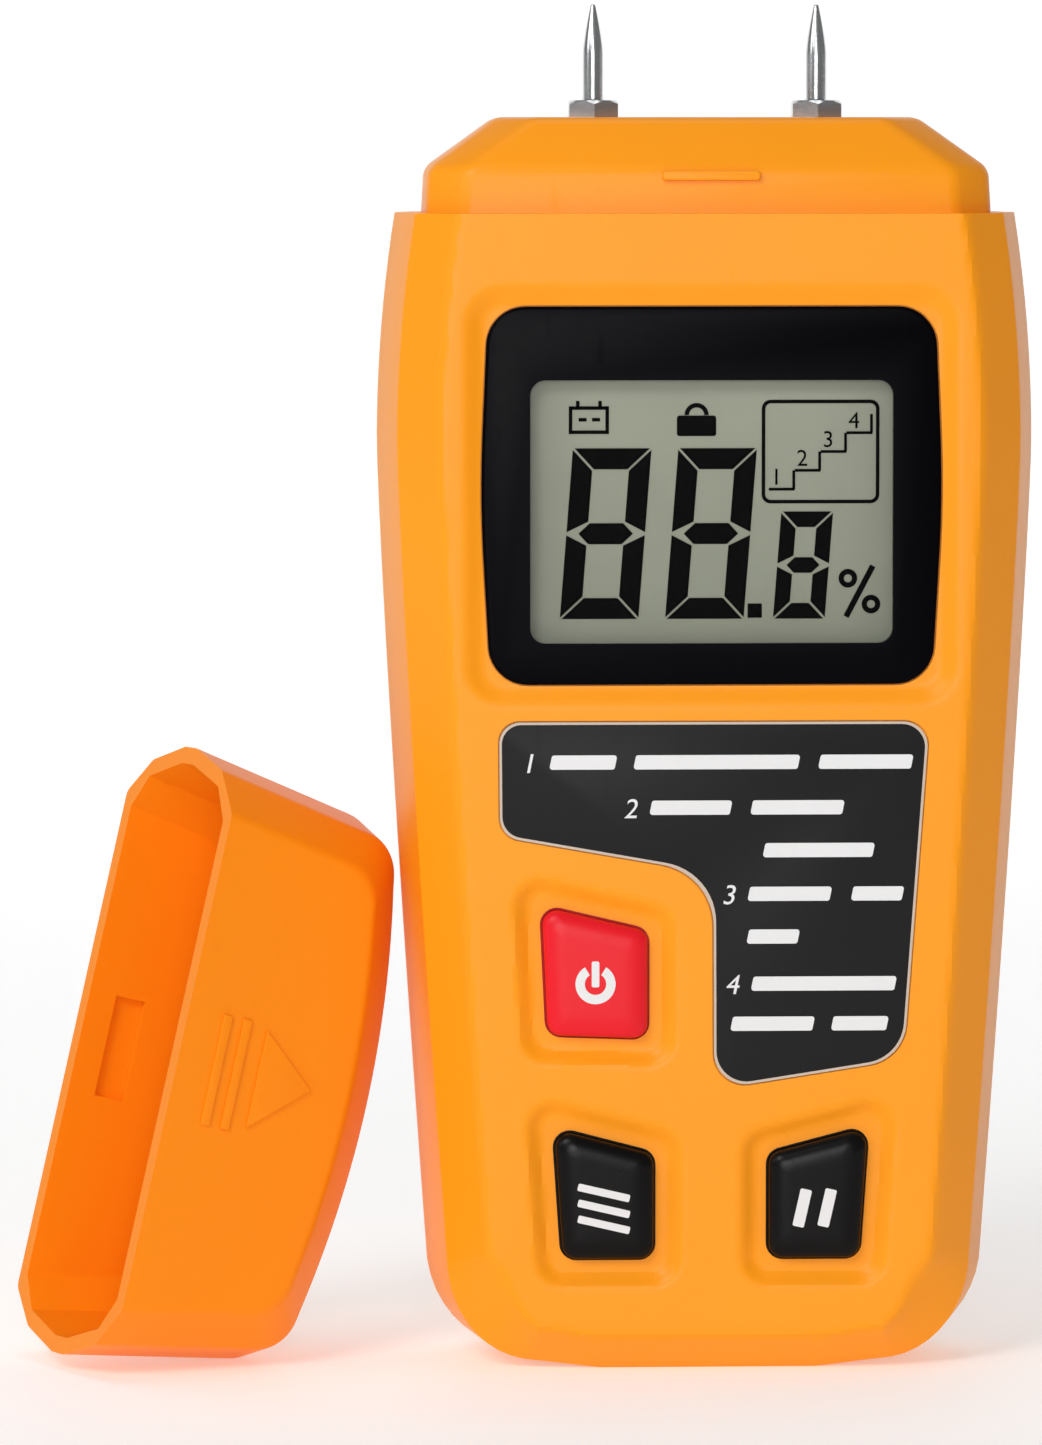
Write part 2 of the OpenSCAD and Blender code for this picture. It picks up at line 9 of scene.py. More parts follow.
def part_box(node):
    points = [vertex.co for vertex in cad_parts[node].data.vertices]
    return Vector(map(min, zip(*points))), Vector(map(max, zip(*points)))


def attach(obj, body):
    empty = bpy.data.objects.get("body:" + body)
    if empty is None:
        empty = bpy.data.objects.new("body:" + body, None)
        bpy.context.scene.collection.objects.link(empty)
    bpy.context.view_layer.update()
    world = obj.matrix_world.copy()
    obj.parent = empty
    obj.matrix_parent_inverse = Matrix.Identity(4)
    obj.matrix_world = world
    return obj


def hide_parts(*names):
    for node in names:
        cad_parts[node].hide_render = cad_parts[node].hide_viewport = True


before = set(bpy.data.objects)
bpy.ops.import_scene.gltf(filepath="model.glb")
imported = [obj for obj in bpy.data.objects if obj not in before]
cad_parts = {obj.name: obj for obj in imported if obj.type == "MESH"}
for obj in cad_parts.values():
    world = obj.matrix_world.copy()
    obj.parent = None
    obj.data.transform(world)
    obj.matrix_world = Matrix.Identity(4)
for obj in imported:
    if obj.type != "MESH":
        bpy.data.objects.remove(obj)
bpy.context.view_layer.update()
mm = 0.001

# Outline of the case in millimetres, as the frame's shells have it
case = {
    "halfWidth": 37.0,
    "footHalf": 31.5,
    "shoulder": 130.0,
    "wideAt": 104.0,
    "shoulderDrop": 2.05,
    "cornerRadius": 12.0,
    "cornerAt": 12.9,
    "footFlat": 12.0,
    "front": -14.0,
    "back": 14.0,
    "parting": 1.0,
    "bevelStart": 9.0,      # depth at which the bevel round the face begins
    "bandIn": 2.0,
    "frontIn": 6.7,
    "backIn": 6.0,
    "footIn": 4.2,
    "wall": 2.0,
    "ridge": 0.11,          # softness of the ridge round the face, as a share of the bevel
    "gridStep": 0.5,
}

keys = {
    "power": [(-19.0, 52.6), (-7.2, 49.8), (-7.2, 37.8), (-18.3, 38.2)],
    "mode": [(-17.6, 27.6), (-6.5, 24.7), (-6.5, 13.0), (-16.6, 13.0)],
    "hold": [(6.5, 24.7), (17.6, 27.6), (16.6, 13.0), (6.5, 13.0)],
    "radius": 1.6,
    "gap": 0.3,
    "proud": 0.9,
    "crown": [(0.0, 2.6), (0.01, 2.2), (0.05, 1.6), (0.13, 1.1), (0.26, 0.68), (0.45, 0.34),
              (0.68, 0.11), (0.95, 0.0)],
    "dishFlat": 1.5,
    "dishEnd": 3.4,
    "dishDepth": 0.95,
}

display = {
    "centre": 98.55,
    "width": 51.8,
    "height": 42.2,
    "radius": 4.4,
    "windowCentre": 96.75,
    "windowWidth": 40.6,
    "windowHeight": 29.4,
    "windowRadius": 1.7,
    "front": -13.55,
    "back": -12.7,
    "dishFlat": 0.1,
    "dishEnd": 2.6,
    "dishDepth": 0.7,
}

label = {
    "corners": [(-23.8, 73.3), (24.4, 73.3), (21.6, 35.3), (0.3, 32.0), (0.2, 56.3), (-23.7, 60.5)],
    "radii": [2.4, 2.8, 5.0, 3.6, 7.0, 2.6],
    "front": -14.08,
    "back": -13.6,
}


class Wire:
    def __init__(self, shader, socket):
        self.shader = shader
        self.socket = socket

    def math(self, operation, other=None, turned=False):
        pair = [self] if other is None else ([other, self] if turned else [self, other])
        return self.shader.node("ShaderNodeMath", {"operation": operation}, dict(enumerate(pair)))

    def __add__(self, other):
        return self.math("ADD", other)

    __radd__ = __add__

    def __sub__(self, other):
        return self.math("SUBTRACT", other)

    def __rsub__(self, other):
        return self.math("SUBTRACT", other, True)

    def __mul__(self, other):
        return self.math("MULTIPLY", other)

    __rmul__ = __mul__

    def __truediv__(self, other):
        return self.math("DIVIDE", other)

    def above(self, limit, soft):
        return ((self - limit) / soft + 0.5).math("MAXIMUM", 0.0).math("MINIMUM", 1.0)


class Shader:
    def __init__(self, name):
        self.material = bpy.data.materials.new(name)
        self.material.use_nodes = True
        self.tree = self.material.node_tree
        self.surface = self.tree.nodes["Principled BSDF"]
        self.place = self.node("ShaderNodeTexCoord", {}, {}, "Object")

    def node(self, kind, settings, inputs, output=0):
        made = self.tree.nodes.new(kind)
        for key, value in settings.items():
            if key == "stops":
                for stop, (at, colour) in zip(made.color_ramp.elements, value):
                    stop.position = at
                    stop.color = (*colour, 1)
            else:
                setattr(made, key, value)
        for key, value in inputs.items():
            self.put(made.inputs[key], value)
        return Wire(self, made.outputs[output])

    def put(self, socket, value):
        if isinstance(value, Wire):
            self.tree.links.new(value.socket, socket)
        elif isinstance(value, (tuple, list)) and len(value) == 3 and socket.type == "RGBA":
            socket.default_value = (*value, 1)
        else:
            socket.default_value = value

    def noise(self, scale, detail=2.0, stretch=None):
        place = self.place
        if stretch:
            place = self.node("ShaderNodeMapping", {}, {"Vector": place, "Scale": stretch})
        return self.node("ShaderNodeTexNoise", {}, {"Vector": place, "Scale": scale, "Detail": detail}, "Fac")

    def mix(self, factor, low, high):
        mixed = self.node("ShaderNodeMix", {"data_type": "RGBA"}, {"Factor": factor, 6: low, 7: high}, 2)
        return mixed

    def bump(self, height, distance, strength=1.0):
        return self.node("ShaderNodeBump", {},
                         {"Height": height, "Distance": distance, "Strength": strength}, "Normal")

    def set(self, **values):
        for key, value in values.items():
            self.put(self.surface.inputs[key.replace("_", " ")], value)
        return self


def shade(colour, factor):
    return tuple(min(1.0, c * factor) for c in colour)


# Moulded plastic: slow colour drift, uneven gloss and the fine skin of a spark-eroded mould
def plastic(name, colour, rough=0.35, drift=0.04, grain=0.000012, grainScale=2600.0, shine=0.5):
    s = Shader(name)
    slow = s.noise(45.0)
    fine = s.noise(grainScale, 3.0)
    scuffs = s.noise(900.0, 4.0, (1.0, 1.0, 0.15)).above(0.66, 0.1)
    s.set(Base_Color=s.mix(slow, shade(colour, 1 - drift), shade(colour, 1 + drift)),
          Roughness=rough - 0.04 + slow * 0.06 + fine * 0.04 + scuffs * 0.05,
          Normal=s.bump(fine, grain))
    s.set(IOR=1.5, Specular_IOR_Level=shine)
    return s.material


# Turned or plated metal: fine rings or brushing along one axis
def metal(name, colour, rough=0.25, stretch=(1.0, 1.0, 30.0), grain=0.000006):
    s = Shader(name)
    brushed = s.noise(1500.0, 3.0, stretch)
    patches = s.noise(220.0)
    s.set(Base_Color=s.mix(patches, shade(colour, 0.9), shade(colour, 1.08)), Metallic=1.0,
          Roughness=rough + brushed * 0.12 + patches * 0.05, Normal=s.bump(brushed, grain))
    return s.material


orange = (0.96, 0.325, 0.007)
materials = {
    "case": plastic("casePlastic", orange, 0.36, shine=0.22),
    "cap": plastic("capPlastic", (0.97, 0.265, 0.005), 0.4, shine=0.16),
    "bezel": plastic("bezelGloss", (0.001, 0.001, 0.002), 0.3, 0.2, 0.000002, 900.0, 0.03),
    "keyBlack": plastic("keyBlack", (0.004, 0.0035, 0.0035), 0.28, 0.2, 0.000008, 1800.0, 0.12),
    "keyRed": plastic("keyRed", (0.78, 0.01, 0.02), 0.34, 0.05, 0.00001, 1800.0, 0.2),
    "marks": plastic("whiteInk", (0.75, 0.75, 0.75), 0.45),
    "label": plastic("labelFilm", (0.015, 0.015, 0.016), 0.38, 0.1, 0.000008, 3200.0, 0.1),
    # Light tan finish that paints a highlight along the label's cut edge
    "paintedEdgeHighlight": plastic("paintedEdgeHighlight", (0.55, 0.45, 0.36), 0.4),
    "ink": plastic("segmentInk", (0.003, 0.003, 0.003), 0.5, 0.1, 0.000004, 3000.0, 0.03),
    "holder": plastic("holderPlastic", (0.72, 0.72, 0.69), 0.5),
    "chip": plastic("chipResin", (0.012, 0.012, 0.013), 0.6, 0.2, 0.00003, 4000.0),
    "vinylBlack": plastic("vinylBlack", (0.012, 0.012, 0.012), 0.45),
    "vinylRed": plastic("vinylRed", (0.5, 0.01, 0.01), 0.4),
    "vinylWhite": plastic("vinylWhite", (0.6, 0.6, 0.57), 0.4),
    "tan": plastic("ceramicTan", (0.3, 0.2, 0.11), 0.55),
    "steel": metal("pinSteel", (0.66, 0.67, 0.68), 0.12, (1.0, 1.0, 20.0)),
    "zinc": metal("zincPlate", (0.55, 0.56, 0.58), 0.3, (1.0, 1.0, 1.0)),
    "brass": metal("turnedBrass", (0.72, 0.5, 0.2), 0.25, (1.0, 1.0, 30.0)),
}


def glassPane(name):
    s = Shader(name)
    smudge = s.noise(140.0, 3.0)
    s.set(Base_Color=(0.0, 0.0, 0.0), Roughness=0.02 + smudge * 0.04, Alpha=0.05 + smudge * 0.03)
    s.set(IOR=1.45)
    return s.material


# Reflective liquid crystal glass: grey green, with painted light making it lighter towards its top, painted
# shade darkening it towards its left and right rim under the bezel, and a faint fine weave of cells
def lcdGlass(name):
    s = Shader(name)
    split = s.node("ShaderNodeSeparateXYZ", {}, {"Vector": s.place}, "X")
    height = Wire(s, split.socket.node.outputs["Z"])
    # Painted shade: darkens the glass towards its left and right rim
    rim = (split.math("ABSOLUTE") * (1 / (display["windowWidth"] * 0.5 * mm))).math("POWER", 6.0)
    # Painted light: share of height up the glass, used to make its top lighter
    rise = (height - display["windowCentre"] * mm) * (1 / (display["windowHeight"] * mm)) + 0.5
    cells = s.noise(3000.0, 1.0)
    paintedLightTone = s.mix(rise, (0.28, 0.3, 0.22), (0.36, 0.38, 0.285))
    s.set(Base_Color=s.mix(rim * 0.35, paintedLightTone, (0.17, 0.18, 0.14)), Roughness=0.42 + cells * 0.06,
          Normal=s.bump(cells, 0.000004))
    return s.material


# Circuit board: solder resist over a faint grid of tracks
def boardResist(name):
    s = Shader(name)
    tracks = s.node("ShaderNodeTexBrick", {"offset": 0.37}, {"Vector": s.node("ShaderNodeMapping", {}, {
        "Vector": s.place, "Rotation": (math.pi / 2, 0.0, 0.0)}), "Scale": 260.0, "Mortar Size": 0.06,
        "Color1": (0.0, 0.0, 0.0), "Color2": (0.1, 0.1, 0.1), "Mortar": (1.0, 1.0, 1.0)}, "Fac")
    s.set(Base_Color=s.mix(tracks, (0.01, 0.14, 0.05), (0.03, 0.26, 0.1)),
          Roughness=0.35 + s.noise(400.0) * 0.1,
          Normal=s.bump(tracks, 0.00003))
    return s.material


# Battery jacket: plain dark steel with a copper coloured band at its top
def batteryJacket(name):
    s = Shader(name)
    height = Wire(s, s.node("ShaderNodeSeparateXYZ", {}, {"Vector": s.place}, "Z").socket)
    band = height.above(47.0 * mm, 0.3 * mm)
    worn = s.noise(300.0, 4.0).above(0.62, 0.08)
    s.set(Base_Color=s.mix(band, (0.02, 0.022, 0.026), (0.5, 0.2, 0.07)), Metallic=band * 0.8,
          Roughness=0.3 + worn * 0.2)
    return s.material


def stripedRubber(name):
    s = Shader(name)
    bars = s.node("ShaderNodeTexWave", {"bands_direction": "X"}, {"Vector": s.place, "Scale": 700.0}, "Fac")
    s.set(Base_Color=s.mix(bars, (0.01, 0.01, 0.01), (0.16, 0.16, 0.17)), Roughness=0.7,
          Normal=s.bump(bars, 0.00002))
    return s.material


materials.update({
    "window": glassPane("windowClear"),
    "lcd": lcdGlass("lcdGlass"),
    "board": boardResist("boardResist"),
    "battery": batteryJacket("batteryJacket"),
    "zebra": stripedRubber("zebraRubber"),
})
print("materials made:", len(materials))


def unit(v):
    return v / math.hypot(*v)


# Polygon with each corner rounded by its own radius
def rounded(corners, radii, steps=8):
    if not isinstance(radii, (list, tuple)):
        radii = [radii] * len(corners)
    points = []
    for i, radius in enumerate(radii):
        b = np.array(corners[i])
        u = unit(np.array(corners[i - 1]) - b)
        v = unit(np.array(corners[(i + 1) % len(corners)]) - b)
        half = math.acos(float(u @ v)) / 2
        centre = b + unit(u + v) * radius / math.sin(half)
        start = b + u * radius / math.tan(half) - centre
        end = b + v * radius / math.tan(half) - centre
        turn = math.atan2(start[0] * end[1] - start[1] * end[0], start @ end)
        first = math.atan2(start[1], start[0])
        for k in range(steps + 1):
            a = first + turn * k / steps
            points.append(tuple(centre + radius * np.array([math.cos(a), math.sin(a)])))
    return points


# Clockwise polygon with every edge moved outward
def grown(corners, gap):
    points = []
    for i in range(len(corners)):
        b = np.array(corners[i])
        a = unit(b - np.array(corners[i - 1]))
        c = unit(np.array(corners[(i + 1) % len(corners)]) - b)
        m = np.array([-a[1], a[0]])
        n = np.array([-c[1], c[0]])
        points.append(tuple(b + gap * (m + n) / (1 + m @ n)))
    return points


def rect(width, height, x=0.0, z=0.0):
    w, h = width / 2, height / 2
    return [(x - w, z + h), (x + w, z + h), (x + w, z - h), (x - w, z - h)]


def caseHalf(z):
    z = np.asarray(z, float)
    above = np.clip((z - case["wideAt"]) / (case["shoulder"] - case["wideAt"]), 0, 1)
    below = np.clip((case["wideAt"] - z) / (case["wideAt"] - case["cornerAt"]), 0, 1)
    taper = case["halfWidth"] - case["footHalf"]
    return case["halfWidth"] - case["shoulderDrop"] * above ** 2 - taper * below ** 1.2


def mirrored(half):
    return half + [(-x, z) for x, z in reversed(half)]


def caseOutline(side, foot, top, steps=24):
    r, at = case["cornerRadius"], case["cornerAt"]
    half = [(float(caseHalf(z)) - side, z) for z in np.linspace(top, at, steps * 2)]
    for a in np.linspace(0, math.pi / 2, steps // 2)[1:-1]:
        half.append((case["footHalf"] - r + (r - side) * math.cos(a), at - (r - foot) * math.sin(a)))
    half.append((case["footFlat"], foot))
    return mirrored(half)


# Ring of vertices standing in the XZ plane at one depth
def ring(bm, outline, y):
    verts = bmesh.ops.create_circle(bm, segments=len(outline), radius=1.0)["verts"]
    for vert, (x, z) in zip(verts, outline):
        vert.co = (x, y, z)
    return verts


def ringEdges(verts):
    inside = set(verts)
    return list({e for v in verts for e in v.link_edges if e.other_vert(v) in inside})


# Solid through a row of outlines, given as (depth, outline)
def loft(rows):
    bm = bmesh.new()
    rings = [ring(bm, outline, y) for y, outline in rows]
    edges = [ringEdges(verts) for verts in rings]
    for a, b in zip(edges, edges[1:]):
        bmesh.ops.bridge_loops(bm, edges=a + b)
    for verts in (rings[0], rings[-1]):
        bm.faces.new(verts)
    bmesh.ops.recalc_face_normals(bm, faces=bm.faces[:])
    return bm


def plate(outline, y0, y1, soften=0.0, segments=3, backToo=False):
    bm = loft([(y0, outline), (y1, outline)])
    if soften:
        rim = [e for e in bm.edges if all(abs(v.co.y - y0) < 1e-6 for v in e.verts)
               or backToo and all(abs(v.co.y - y1) < 1e-6 for v in e.verts)]
        bmesh.ops.bevel(bm, geom=rim, offset=soften, segments=segments, profile=0.5, affect="EDGES",
                        material=-1)
    return bm


def block(x, y, z):
    bm = bmesh.new()
    bmesh.ops.create_cube(bm, size=1.0)
    size = Vector((x[1] - x[0], y[1] - y[0], z[1] - z[0]))
    bmesh.ops.scale(bm, vec=size, verts=bm.verts[:])
    bmesh.ops.translate(bm, vec=((x[0] + x[1]) / 2, (y[0] + y[1]) / 2, (z[0] + z[1]) / 2), verts=bm.verts[:])
    return bm


def rod(x, z, radius, y0, y1, segments=48):
    bm = bmesh.new()
    turn = Matrix.Translation((x, (y0 + y1) / 2, z)) @ Matrix.Rotation(math.pi / 2, 4, "X")
    bmesh.ops.create_cone(bm, cap_ends=True, segments=segments, radius1=radius, radius2=radius,
                          depth=y1 - y0, matrix=turn)
    return bm


# Adds the shape of one bmesh to another and frees it
def take(bm, other):
    mesh = bpy.data.meshes.new("part")
    other.to_mesh(mesh)
    other.free()
    bm.from_mesh(mesh)
    bpy.data.meshes.remove(mesh)
    return bm


def gathered(shapes):
    bm = bmesh.new()
    for shape in shapes:
        take(bm, shape)
    return bm


def objectOf(bm, name):
    mesh = bpy.data.meshes.new(name)
    bm.to_mesh(mesh)
    bm.free()
    made = bpy.data.objects.new(name, mesh)
    bpy.context.scene.collection.objects.link(made)
    return made


# Joins, cuts or trims a bmesh with another
def boolean(bm, other, operation):
    body, tool = objectOf(bm, "work"), objectOf(other, "tool")
    step = body.modifiers.new("step", "BOOLEAN")
    step.operation = operation
    step.solver = "EXACT"
    step.object = tool
    bpy.context.view_layer.update()
    result = bpy.data.meshes.new_from_object(body.evaluated_get(bpy.context.evaluated_depsgraph_get()))
    out = bmesh.new()
    out.from_mesh(result)
    for used in (body, tool):
        data = used.data
        bpy.data.objects.remove(used)
        bpy.data.meshes.remove(data)
    bpy.data.meshes.remove(result)
    return out


# Turns a shape in millimetres into a finished piece on a body
def piece(bm, name, body, material, replaces=(), sharp=28.0):
    bmesh.ops.remove_doubles(bm, verts=bm.verts[:], dist=0.0005)
    bmesh.ops.scale(bm, vec=(mm, mm, mm), verts=bm.verts[:])
    made = objectOf(bm, name)
    made.data.shade_smooth()
    made.data.set_sharp_from_angle(angle=math.radians(sharp))
    made.data.materials.append(materials[material])
    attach(made, body)
    if replaces:
        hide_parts(*replaces)
    return made


# Distance outside a convex clockwise polygon, zero within it
def outside(x, z, corners):
    inside = np.full(x.shape, -1e9)
    nearest = np.full(x.shape, 1e9)
    for i in range(len(corners)):
        a, b = np.array(corners[i - 1]), np.array(corners[i])
        along = b - a
        t = np.clip(((x - a[0]) * along[0] + (z - a[1]) * along[1]) / (along @ along), 0, 1)
        nearest = np.minimum(nearest, np.hypot(x - a[0] - t * along[0], z - a[1] - t * along[1]))
        inside = np.maximum(inside, ((x - a[0]) * -along[1] + (z - a[1]) * along[0]) / math.hypot(*along))
    return np.where(inside < 0, 0.0, nearest)


def smooth(t):
    t = np.clip(t, 0, 1)
    return t * t * (3 - 2 * t)


# Share of the bevel climbed at a place on the face: 0 at its foot, 1 at the ridge
def bevelShare(x, z, faceIn):
    x = np.abs(x)
    r, at = case["cornerRadius"], case["cornerAt"]
    cx = case["footHalf"] - r
    rise = faceIn - case["bandIn"]
    side = (caseHalf(z) - x - case["bandIn"]) / rise
    lift = (at - r) * smooth((x - case["footFlat"]) / (cx - case["footFlat"]))
    foot = (z - lift) / case["footIn"]
    reach = np.hypot(x - cx, at - z)
    c, s = (x - cx) / np.maximum(reach, 1e-6), (at - z) / np.maximum(reach, 1e-6)
    corner = (r - reach - case["bandIn"] * c) / np.maximum(rise * c + case["footIn"] * s, 1e-3)
    return np.where(z > at, side, np.where(x < cx, np.minimum(foot, 9.0), corner))


def softStep(u, k):
    return np.where(u > k, u, np.where(u < -k, 0.0, (u + k) ** 2 / (4 * k)))


# Depth of the front face, with the bevel round it and the dishes in it
def faceDepth(x, z, faceIn, dishes):
    climb = case["back"] - case["bevelStart"]
    depth = case["front"] + climb * softStep(1 - bevelShare(x, z, faceIn), case["ridge"])
    for corners, flat, end, deep in dishes:
        away = outside(x, z, corners)
        depth = np.maximum(depth, depth + deep * (1 - smooth((away - flat) / (end - flat))))
    return depth


# Block whose front is a fine grid shaped by a depth formula
def faceBlock(x0, x1, z0, z1, step, depth, back):
    bm = bmesh.new()
    bmesh.ops.create_grid(bm, x_segments=round((x1 - x0) / step), y_segments=round((z1 - z0) / step),
                          size=1.0)
    x = np.array([v.co.x for v in bm.verts]) * (x1 - x0) / 2 + (x0 + x1) / 2
    z = np.array([v.co.y for v in bm.verts]) * (z1 - z0) / 2 + (z0 + z1) / 2
    y = depth(x, z)
    for vert, place in zip(bm.verts, zip(x, y, z)):
        vert.co = place
    rim = [e for e in bm.edges if e.is_boundary]
    made = bmesh.ops.extrude_edge_only(bm, edges=rim)["geom"]
    for vert in made:
        if isinstance(vert, bmesh.types.BMVert):
            vert.co.y = back
    bmesh.ops.holes_fill(bm, edges=[e for e in bm.edges if e.is_boundary], sides=0)
    bmesh.ops.recalc_face_normals(bm, faces=bm.faces[:])
    return bm


head = {
    "foot": 127.0,
    "break": 135.0,
    "top": 140.7,
    "footHalf": 31.95,
    "footDepth": 11.6,
    "topHalf": 23.7,
    "topDepth": 8.2,
    "faceIn": 4.2,
    "sideIn": 4.0,
    "soften": 0.9,
    "catchWidth": 11.0,
    "catchAt": 134.2,
    "catchHeight": 1.1,
    "catchOut": 0.75,
}


# Half of the head, stacked upward and softened along its edges: side is -1 in front, 1 behind,
# and past is how far it reaches beyond the parting
def headHalf(side, inset=0.0, soften=True, past=0.0):
    levels = [(head["foot"], head["footHalf"], head["footDepth"]),
              (head["break"], head["footHalf"] - 0.45, head["footDepth"] - 0.2),
              (head["top"] - inset, head["topHalf"], head["topDepth"])]
    parting = case["parting"] - side * past
    bm = bmesh.new()
    rows = []
    for z, half, depth in levels:
        x, y = half - inset, depth - inset
        outline = [(-x, parting), (-x, side * (y - head["sideIn"])), (-x + head["faceIn"], side * y),
                   (x - head["faceIn"], side * y), (x, side * (y - head["sideIn"])), (x, parting)]
        verts = bmesh.ops.create_circle(bm, segments=6, radius=1.0)["verts"]
        for vert, (px, py) in zip(verts, outline):
            vert.co = (px, py, z)
        rows.append(verts)
    for a, b in zip(rows, rows[1:]):
        bmesh.ops.bridge_loops(bm, edges=ringEdges(a) + ringEdges(b))
    bm.faces.new(rows[0])
    bm.faces.new(rows[-1])
    bmesh.ops.recalc_face_normals(bm, faces=bm.faces[:])
    if soften:
        edges = [e for e in bm.edges if not all(abs(v.co.y - parting) < 1e-6 for v in e.verts)
                 and not all(abs(v.co.z - head["foot"]) < 1e-6 for v in e.verts)]
        bmesh.ops.bevel(bm, geom=edges, offset=head["soften"], segments=4, profile=0.5, affect="EDGES",
                        material=-1)
    return bm


def bezelOutline(gap, steps=8):
    w, h, c = display["width"] / 2, display["height"] / 2, display["centre"]
    corners = [(-w + 0.9, c + h), (w - 0.9, c + h), (w, c), (w - 1.2, c - h), (-w + 1.2, c - h), (-w, c)]
    r = display["radius"] + gap
    return rounded(grown(corners, gap), [r, r, 150.0, r, r, 150.0], steps)


def windowOutline(gap):
    return rounded(rect(display["windowWidth"] + 2 * gap, display["windowHeight"] + 2 * gap, 0.0,
                        display["windowCentre"]),
                   display["windowRadius"])


screws = {
    "case": [(s * x, z) for s in (-1, 1) for x, z in ((27.0, 123.5), (22.5, 11.5))],
    "headRadius": 2.5,
    "sink": 6.0,
}

bay = {
    "half": 13.8,
    "low": 9.6,
    "high": 68.4,
    "wall": 1.2,
    "floor": -6.2,
    "ledge": 2.4,
    "doorThickness": 1.15,
}


# Path through (depth, side, end) points with its inner corners rounded off
def softened(controls, radii, steps=5):
    controls = [np.array(c, float) for c in controls]
    path = []
    for before, corner, after, radius in zip(controls, controls[1:], controls[2:], radii):
        a = corner + (before - corner) * radius / np.linalg.norm(before - corner)
        b = corner + (after - corner) * radius / np.linalg.norm(after - corner)
        path += [(1 - t) ** 2 * a + 2 * t * (1 - t) * corner + t * t * b
                 for t in np.linspace(0, 1, steps + 1)]
    return path + [controls[-1]]


# One half of the case without its openings: the front is a shaped grid trimmed by the outline
def caseHalfSolid(side, dishes):
    top = case["shoulder"]
    if side < 0:
        slope = case["bandIn"] / 7.5
        step = case["gridStep"] * 1.0
        grid = faceBlock(-38.5, 38.5, -1.13, 131.21, step,
                         lambda x, z: faceDepth(x, z, case["frontIn"], dishes), case["parting"] + 1.0)
        rows = [(-17.0, caseOutline(case["bandIn"] + 8 * slope, 0.0, top)),
                (-case["bevelStart"], caseOutline(case["bandIn"], 0.0, top)),
                (-1.5, caseOutline(0.0, 0.0, top)), (case["parting"], caseOutline(0.0, 0.0, top))]
        solid = boolean(grid, loft(rows), "INTERSECT")
    else:
        controls = [(case["back"], case["backIn"] + 3, case["footIn"] + 3),
                    (case["back"], case["backIn"], case["footIn"]),
                    (case["bevelStart"], case["bandIn"], 0), (1.5, 0, 0), (case["parting"], 0, 0)]
        solid = loft([(y, caseOutline(s, f, top)) for y, s, f in softened(controls, [0.8, 0.4, 0.2])])
    return boolean(solid, headHalf(side), "UNION")


# Space inside one half
def cavity(side):
    w = case["wall"]
    faceIn = case["frontIn"] if side < 0 else case["backIn"]
    top = case["shoulder"] - w
    rows = [(side * (case["back"] - w), caseOutline(faceIn + w / 2, case["footIn"] + w / 2, top)),
            (side * case["bevelStart"], caseOutline(case["bandIn"] + w, w, top)),
            (side * 1.5, caseOutline(w, w, top)), (-side * 4.0, caseOutline(w, w, top))]
    return boolean(loft(rows), headHalf(side, w, False, 1.0), "UNION")


# Catch ridge on the head that the cap snaps over
def catchRidge(side):
    bm = plate(rounded(rect(head["catchWidth"], head["catchHeight"], 0.0, head["catchAt"]), 0.35),
               -head["footDepth"] - head["catchOut"] + 0.15, -head["footDepth"] + 0.8, 0.25)
    if side > 0:
        bmesh.ops.rotate(bm, cent=(0, 0, 0), matrix=Matrix.Rotation(math.pi, 3, "Z"), verts=bm.verts[:])
    return bm


def socketBores():
    shapes = []
    for s in (-1, 1):
        bm = bmesh.new()
        bmesh.ops.create_cone(bm, cap_ends=True, segments=40, radius1=3.0, radius2=3.0, depth=6.0,
                              matrix=Matrix.Translation((s * 12.6, 0, head["top"] - 1.0)))
        shapes.append(bm)
    return shapes


def makeFrontShell():
    dishes = [(keys[k], keys["dishFlat"], keys["dishEnd"], keys["dishDepth"])
              for k in ("power", "mode", "hold")]
    bezelCorners = grown(rect(display["width"] - 1.2, display["height"], 0.0, display["centre"]), -2.0)
    dishes.append((bezelCorners, display["dishFlat"] + 2.0, display["dishEnd"] + 2.0, display["dishDepth"]))
    solid = caseHalfSolid(-1, dishes)
    solid = boolean(solid, cavity(-1), "DIFFERENCE")
    cutters = [plate(bezelOutline(0.15), -20.0, display["back"]),
               plate(rounded(grown(label["corners"], 0.15), label["radii"]), -20.0, label["back"])]
    for k in ("power", "mode", "hold"):
        cutters.append(plate(rounded(grown(keys[k], keys["gap"]), keys["radius"] + keys["gap"]), -20.0, -8.0))
    solid = boolean(solid, gathered(cutters + socketBores()), "DIFFERENCE")
    solid = boolean(solid, plate(windowOutline(1.7), -16.0, -8.0), "DIFFERENCE")
    solid = boolean(solid, catchRidge(-1), "UNION")
    return piece(solid, "frontShell", "meter", "case", ["front_shell"], 22.0)


